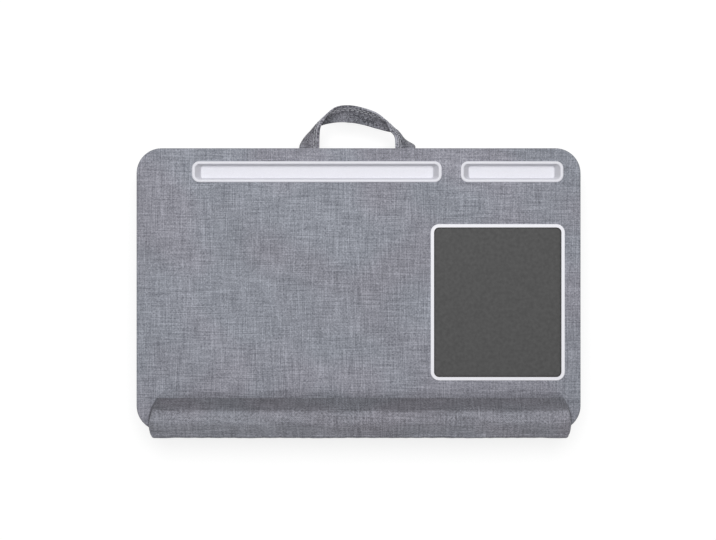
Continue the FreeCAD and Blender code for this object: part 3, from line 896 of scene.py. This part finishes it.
bolsterLow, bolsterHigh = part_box("left_bolster_cover")
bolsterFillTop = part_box("left_bolster_fill")[1].z
middleLow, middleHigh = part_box("centre_panel")
bolsterLook = {
    "voxel": 0.0055, "pressure": 4.0, "shrink": -0.02, "frames": 18, "cap": 0.006, "fabric": 0.0015,
    "gathers": 0.019, "pull": 0.0013, "fade": 0.009, "wander": 0.0011,
    "seamDown": 0.0016, "pipingRadius": 0.0019, "heldAt": bolsterHigh.z, "heldReach": 0.006,
    "sewnFrom": bolsterFillTop - 0.6 * mm,
    "settle": 0.007,                               # height below which the underside flattens softly
}
middleLook = {
    "voxel": 0.0042, "pressure": 2.0, "shrink": -0.015, "frames": 12, "cap": 0.003, "fabric": 0.0013,
    "gathers": 0.015, "pull": 0.0005, "fade": 0.005, "wander": 0.0004,
    "heldAt": middleHigh.z, "heldReach": 0.006,
    "sewnFrom": middleHigh.z - 1.0 * mm,
}
spare = Vector((0.004, 0.004, 0))     # the fabric may swell this far sideways


def flatten(piece, floorZ, topZ, knee):   # what hangs low is pressed flat, and rests on the floor
    for vertex in piece.data.vertices:
        height = vertex.co.z - floorZ
        if height < knee:
            vertex.co.z = floorZ + knee * math.exp(height / knee - 1)
    lowest = min(vertex.co.z for vertex in piece.data.vertices)
    for vertex in piece.data.vertices:
        vertex.co.z = floorZ + (vertex.co.z - lowest) * (topZ - floorZ) / (topZ - lowest)


def makeCushion(name, node, low, high, look):
    piece = copyNode(node, name)
    puff(piece, look, lambda spot: spot.z > look["sewnFrom"])
    gather(piece, high.z, look)
    if "settle" in look:
        flatten(piece, low.z, high.z, look["settle"])
    clampBox(piece, low - spare, high + spare)
    smoothShade(piece, degrees=180)
    dress(piece, cushionKnit)
    return piece


def mirrored(piece, name):       # the same piece on the other side
    other = copyPiece(piece, name)
    other.data.name = name
    for vertex in other.data.vertices:
        vertex.co.x = -vertex.co.x
    takeUp(other)
    editAll()
    bpy.ops.mesh.flip_normals()
    editDone()
    return other


leftBolster = makeCushion("leftBolster", "left_bolster_fill", bolsterLow, bolsterHigh, bolsterLook)
bolsterSeam = Vector((0, 0, bolsterHigh.z - bolsterLook["seamDown"]))
leftPiping = seamCord("leftBolsterPiping", leftBolster, bolsterSeam, Vector((0, 0, 1)),
                      bolsterLook["pipingRadius"], cushionKnit)
rightBolster = mirrored(leftBolster, "rightBolster")
rightPiping = mirrored(leftPiping, "rightBolsterPiping")
cushionMiddle = makeCushion("cushionMiddle", "centre_foam", middleLow, middleHigh, middleLook)
print("bolsters:", len(leftBolster.data.polygons), "faces each, middle:", len(cushionMiddle.data.polygons))


# carrying strap: one length of folded linen, rolled over at the top of each leg

strapLook = {
    "width": 0.025, "thick": 0.0024, "legSpacing": 0.1195, "rollStart": -0.0015, "reach": 0.0517,
    "lean": -0.0015,             # the loop stands this far to the left of its tabs
    "tabLength": 0.0283, "tabRows": (0.04, 0.15, 0.5, 1.0), "between": 6, "edgeRound": 0.5,
    # places across the width, from the upper edge
    "across": (0.0, 0.0003, 0.0008, 0.0018, 0.0033, 0.0041, 0.0049, 0.0059, 0.0068, 0.0077, 0.0102, 0.0138,
               0.0174, 0.0208, 0.0234, 0.0242, 0.0247, 0.025),
    "stitchRows": (0.0041, 0.0068), "groove": 0.0004, "grooveWidth": 0.0008,
    "stitchPitch": 0.0055, "stitchLength": 0.0048, "stitchRadius": 0.00038, "stitchLift": 0.0010,
    "stitchSides": 6, "stitchTaper": 0.7, "smoothing": 10, "flatBulge": 0.004,
    # upper edge: share of half the gap, share of the reach, heading, roll, bulge
    "way": (
        (-1.0, 0.0, 0, 1, 0.01), (-1.0, 0.07, 0, 9, 0.03), (-1.0, 0.15, 0, 22, 0.06),
        (-1.0, 0.24, 2, 36, 0.09), (-0.995, 0.38, 6, 57, 0.14), (-0.97, 0.52, 18, 80, 0.22),
        (-0.86, 0.70, 38, 111, 0.27), (-0.73, 0.85, 50, 132, 0.22), (-0.56, 0.965, 63, 147, 0.15),
        (-0.335, 1.0, 79, 147, 0.10), (-0.12, 0.995, 91, 143, 0.07), (0.12, 0.95, 101, 140, 0.06),
        (0.40, 0.87, 112, 137, 0.08), (0.56, 0.79, 121, 134, 0.13), (0.72, 0.665, 134, 129, 0.25),
        (0.81, 0.535, 143, 117, 0.40), (0.85, 0.425, 148, 93, 0.38), (0.895, 0.37, 150, 80, 0.30),
        (0.955, 0.32, 157, 73, 0.20), (0.995, 0.24, 172, 64, 0.15), (1.0, 0.17, 178, 47, 0.10),
        (1.0, 0.10, 180, 20, 0.05), (1.0, 0.05, 180, 6, 0.03), (1.0, 0.0, 180, 1, 0.01),
    ),
}
hinge = Vector(next(joint["pos_m"] for joint in frame["joints"] if joint["name"] == "handle_swing"))


def strapStations(look):         # rows of the strap's way, with the flat tabs at both ends, made finer
    gap = (look["legSpacing"] - look["width"]) / 2
    foot = hinge.y + look["rollStart"]
    rise = look["reach"] - look["rollStart"]
    rows = []
    for acrossShare, reachShare, heading, roll, bulge in look["way"]:
        rows.append((acrossShare * gap + look["lean"], foot + reachShare * rise, heading, roll, bulge))
    for back in look["tabRows"]:
        place = foot - (look["tabLength"] + look["rollStart"]) * back
        lean = look["lean"] * (1 - back)
        rows.insert(0, (lean - gap, place, 0, 0, 0.0))
        rows.append((lean + gap, place, 180, 0, 0.0))
    fine = []
    for index in range(len(rows) - 1):
        four = [rows[min(max(index + shift, 0), len(rows) - 1)] for shift in (-1, 0, 1, 2)]
        for step in range(look["between"]):
            share = step / look["between"]
            fine.append(tuple(curveThrough(*values, share) for values in zip(*four)))
    fine.append(rows[-1])
    for _ in range(look["smoothing"]):
        inner = [tuple((one + 2 * two + three) / 4 for one, two, three in zip(*trio))
                 for trio in zip(fine, fine[1:], fine[2:])]
        fine = fine[:1] + inner + fine[-1:]
    return fine


def curveThrough(before, first, last, after, share):   # a smooth way from first to last
    if first == last:
        return first
    slopeFirst = (last - before) / 2
    slopeLast = (after - first) / 2
    square, cube = share ** 2, share ** 3
    bent = (2 * cube - 3 * square + 1) * first + (cube - 2 * square + share) * slopeFirst
    return bent + (3 * square - 2 * cube) * last + (cube - square) * slopeLast


def strapPoint(station, along, look):   # middle of the strap's thickness, and the way off its face
    x, y, heading, roll, bulge = station
    heading, roll = math.radians(heading), math.radians(roll)
    run = Vector((math.sin(heading), math.cos(heading), 0))
    side = run.cross(Vector((0, 0, 1)))
    across = side * math.cos(roll) + Vector((0, 0, math.sin(roll)))
    outward = across.cross(run)
    upper = Vector((x, y, hinge.z))
    if abs(bulge) < look["flatBulge"]:
        return upper - across * along * look["width"], outward
    chord = look["width"] / (1 + 8 / 3 * bulge ** 2)
    radius = chord * (1 + 4 * bulge ** 2) / (8 * bulge)
    half = 2 * math.atan(2 * bulge)
    angle = half * (1 - 2 * along)
    centre = upper - across * chord / 2 + outward * (bulge * chord - radius)
    off = across * math.sin(angle) + outward * math.cos(angle)
    return centre + off * radius, off


def strapRing(station, look):    # closed section with soft edges and a groove under each stitch row
    ring = []
    for face, order in ((1, look["across"]), (-1, look["across"][::-1])):
        for fromEdge in order:
            spot, off = strapPoint(station, fromEdge / look["width"], look)
            half = look["thick"] / 2
            nearEdge = min(fromEdge, look["width"] - fromEdge) / half
            if nearEdge < 1:
                half *= look["edgeRound"] + (1 - look["edgeRound"]) * math.sqrt(nearEdge * (2 - nearEdge))
            for row in look["stitchRows"]:
                half -= look["groove"] * math.exp(-((fromEdge - row) / look["grooveWidth"]) ** 2)
            ring.append(spot + off * face * half)
    return ring


def makeStrap(look, stations):
    strap = sweepRings("carryingStrap", [strapRing(station, look) for station in stations])
    run, travelled = 0.0, [0.0]
    for last, station in zip(stations, stations[1:]):
        run += (strapPoint(station, 0.5, look)[0] - strapPoint(last, 0.5, look)[0]).length
        travelled.append(run)
    flat = list(look["across"]) + [-across for across in look["across"][::-1]]
    layer = strap.data.uv_layers.new(name="weave")
    for face in strap.data.polygons:
        for corner in face.loop_indices:
            ring, place = divmod(strap.data.loops[corner].vertex_index, len(flat))
            layer.data[corner].uv = (travelled[ring], flat[place])
    smoothShade(strap, degrees=55)
    dress(strap, strapLinen)
    return strap, travelled


def stitchPlaces(look, stations, travelled):   # middle, way along and way off the strap, for both faces
    places = []
    for order, row in enumerate(look["stitchRows"]):
        share = row / look["width"]
        index = 0
        reached = (1 + order) / 2 * look["stitchPitch"]    # the rows' stitches lie half a pitch apart
        while reached < travelled[-1] - look["stitchPitch"]:
            while travelled[index + 1] < reached:
                index += 1
            part = (reached - travelled[index]) / (travelled[index + 1] - travelled[index])
            one, oneOff = strapPoint(stations[index], share, look)
            two, twoOff = strapPoint(stations[index + 1], share, look)
            off = oneOff.lerp(twoOff, part).normalized()
            way = (two - one).normalized()
            for face in (1, -1):
                places.append((one.lerp(two, part) + off * face * look["stitchLift"], way, off))
            reached += look["stitchPitch"]
    return places


def makeStitches(look, stations, travelled):

    def sewn(spot, place):
        middle, way, off = place
        along = way * spot.z * look["stitchLength"] / 2
        return middle + along + (way.cross(off) * spot.x + off * spot.y) * look["stitchRadius"]

    freshStart()
    bpy.ops.mesh.primitive_cylinder_add(vertices=look["stitchSides"], radius=1, depth=2,
                                        end_fill_type="TRIFAN")
    stitches = named("strapStitches")
    for vertex in stitches.data.vertices:          # a spindle: the caps' middles stand out
        if vertex.co.xy.length > 0.5:
            vertex.co.z *= look["stitchTaper"]
    joinCopies(stitches, stitchPlaces(look, stations, travelled), sewn)
    smoothShade(stitches, degrees=60)
    dress(stitches, seamThread)
    return stitches


stations = strapStations(strapLook)
strap, travelled = makeStrap(strapLook, stations)
stitches = makeStitches(strapLook, stations, travelled)
print("strap:", round(travelled[-1], 3), "m,", len(stitches.data.polygons), "stitch faces")


# finishes of the CAD nodes that stay

keptFinishes = {
    "board_core": coreBoard,
    "mouse_pad_frame": framePlastic, "wrist_rest_base": backingPlastic, "handle_staples": stapleSteel,
    "hook_strips": hookLoop, "loop_strips": hookLoop,
}
for node, finish in keptFinishes.items():
    for place in nodes[node].material_slots:
        place.material = finish


# what each piece rides on, stands for and is made of

for piece, finish, stoodFor in (
    (cover, "tray_fabric", ["board_cover"]),
    (pleats, "tray_fabric", []),
    (liner, "liner_fabric", ["underside_liner"]),
    (tabletTray, "white_plastic", ["tablet_tray"]),
    (phoneTray, "white_plastic", ["phone_tray"]),
    (mousePad, "pad_leather", ["mouse_pad_leather", "mouse_pad_foam"]),
    (wristRest, "tray_fabric", ["wrist_rest_cover", "wrist_rest_foam"]),
    (wristPiping, "tray_fabric", []),
    (leftBolster, "cushion_fabric", ["left_bolster_cover", "left_bolster_fill"]),
    (leftPiping, "cushion_fabric", []),
    (rightBolster, "cushion_fabric", ["right_bolster_cover", "right_bolster_fill"]),
    (rightPiping, "cushion_fabric", []),
    (cushionMiddle, "cushion_fabric", ["centre_panel", "centre_foam"]),
    (cushionTop, "cushion_fabric", ["cushion_top_panel"]),
):
    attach(piece, "tray")
    if stoodFor:
        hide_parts(*stoodFor)
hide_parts("handle_strap", "handle_tabs")
for piece in (strap, stitches):
    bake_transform(piece)


# studio: pale floor, one broad soft lamp above and behind, camera straight above

studioLook = {
    "floorSize": 12.0, "floorTone": 0.30, "floorGlow": 0.78, "glowNear": 0.8, "glowFar": 3.0,
    "floorLift": 0.3,                              # the floor's light on the underside
    "worldLight": 0.34, "white": (1, 1, 1, 1),
    "lampSize": 1.6, "lampPower": 45.4, "lampSpot": (0.0, 0.75, 2.5),
    "cameraSpot": (-0.0007, 0.0012, 2.0618), "lens": 81.3, "clipEnd": 50,
}


def seenDirectly(tree):          # 1 for camera, glossy and transmission rays
    path = addNode(tree, "LightPath")
    clear = addMath(tree, "MAXIMUM", path.outputs["Is Glossy Ray"], path.outputs["Is Transmission Ray"])
    return addMath(tree, "MAXIMUM", path.outputs["Is Camera Ray"], clear)


def makeStudio(look):
    freshStart()
    bpy.ops.mesh.primitive_plane_add(size=look["floorSize"])
    floor = named("studioFloor")
    paper, tree, shader = newMaterial("palePaper")
    tone = look["floorTone"]
    shader.inputs["Base Color"].default_value = (tone, tone, tone, 1)
    shader.inputs["Roughness"].default_value = 1.0
    shader.inputs["Specular IOR Level"].default_value = 0.0
    shader.inputs["Emission Color"].default_value = look["white"]
    coords = addNode(tree, "TexCoord").outputs["Object"]
    spread = addNode(tree, "VectorMath", {0: coords}, operation="LENGTH").outputs["Value"]
    rising = addNode(tree, "MapRange", {"Value": spread, "From Min": look["glowNear"],
                                        "From Max": look["glowFar"], "To Min": look["floorGlow"],
                                        "To Max": 1.0})
    glow = addMath(tree, "MULTIPLY", seenDirectly(tree), rising.outputs[0])
    tree.links.new(addMath(tree, "MAXIMUM", glow, look["floorLift"]), shader.inputs["Emission Strength"])
    below = addNode(tree, "NewGeometry").outputs["Backfacing"]     # the tray can be seen from underneath
    clear = addNode(tree, "MixShader", {0: below, 1: shader.outputs[0],
                                        2: addNode(tree, "BsdfTransparent").outputs[0]})
    tree.links.new(clear.outputs[0], tree.nodes["Material Output"].inputs["Surface"])
    dress(floor, paper)
    world = bpy.data.worlds.new("studioWorld")
    world.use_nodes = True
    tree = world.node_tree
    lit = addMath(tree, "MAXIMUM", seenDirectly(tree), look["worldLight"])
    sky = tree.nodes["Background"]
    sky.inputs["Color"].default_value = look["white"]
    tree.links.new(lit, sky.inputs["Strength"])
    bpy.context.scene.world = world
    bpy.ops.object.light_add(type="AREA", location=look["lampSpot"])
    lamp = named("softLamp")
    lamp.data.shape = "SQUARE"
    lamp.data.size = look["lampSize"]
    lamp.data.energy = look["lampPower"]
    bpy.ops.object.camera_add(location=look["cameraSpot"], rotation=(0, 0, 0))
    camera = named("topCamera")
    camera.data.lens = look["lens"]
    camera.data.clip_end = look["clipEnd"]
    bpy.context.scene.camera = camera
    bpy.context.scene.view_settings.view_transform = "Standard"


makeStudio(studioLook)
print("studio made")
